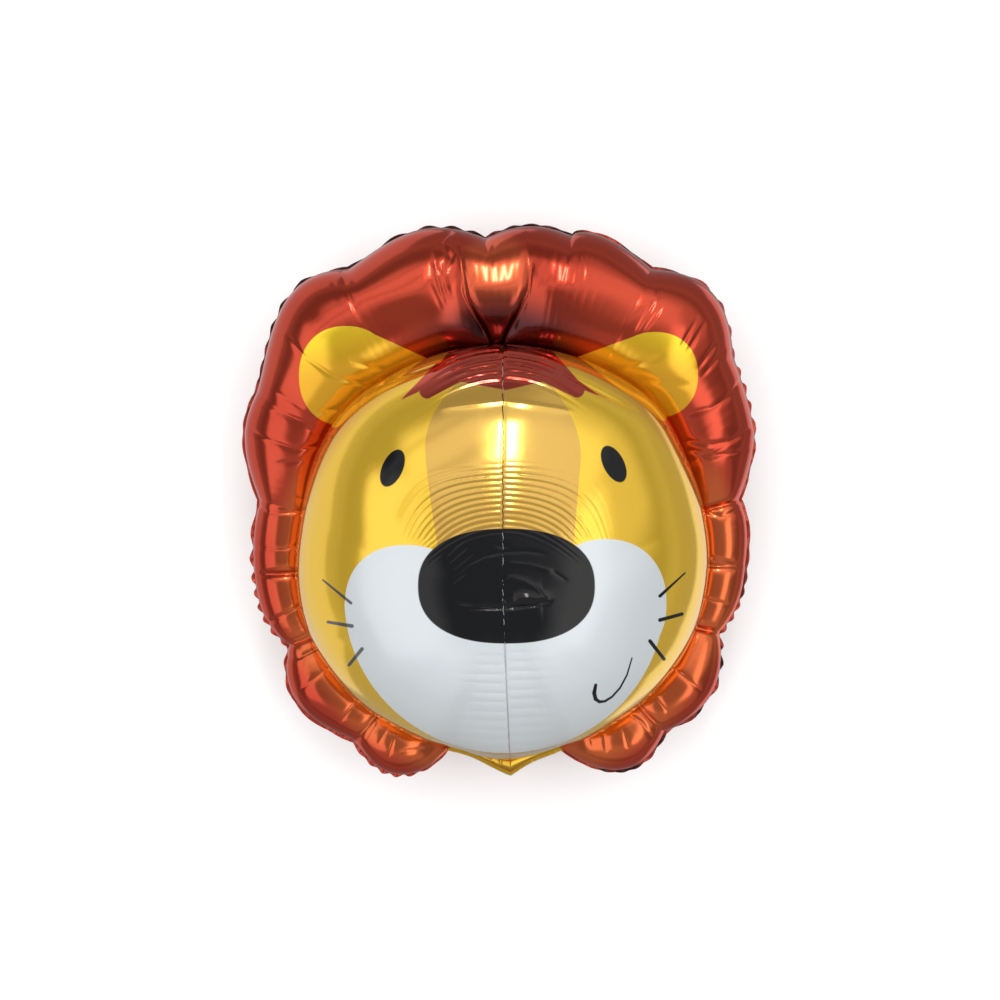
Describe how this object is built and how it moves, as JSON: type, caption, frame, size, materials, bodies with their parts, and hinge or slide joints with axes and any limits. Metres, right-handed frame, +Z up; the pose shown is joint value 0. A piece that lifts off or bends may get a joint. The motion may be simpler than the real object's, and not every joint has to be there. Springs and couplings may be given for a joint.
{
  "type": "lion head foil balloon",
  "caption": "Inflated foil balloon shaped as a lion's head: a domed face ringed by a puffed, pinched mane with a thin welded edge, lying on its back.",
  "frame": {"origin": "under the middle of the balloon's outline, on the surface that it lies on", "axes": "+Z up, out of the face; +Y to the crown of the head, with the chin at -Y; +X to the right of a viewer who looks at the face"},
  "size_m": [0.555, 0.5964, 0.3122],
  "materials": {
    "printed_foil": "metallised film, mirror bright, printed with clear orange red, yellow, silver white and black inks"
  },
  "bodies": {
    "root": {"lion_head_balloon": "printed_foil"}
  },
  "joints": []
}
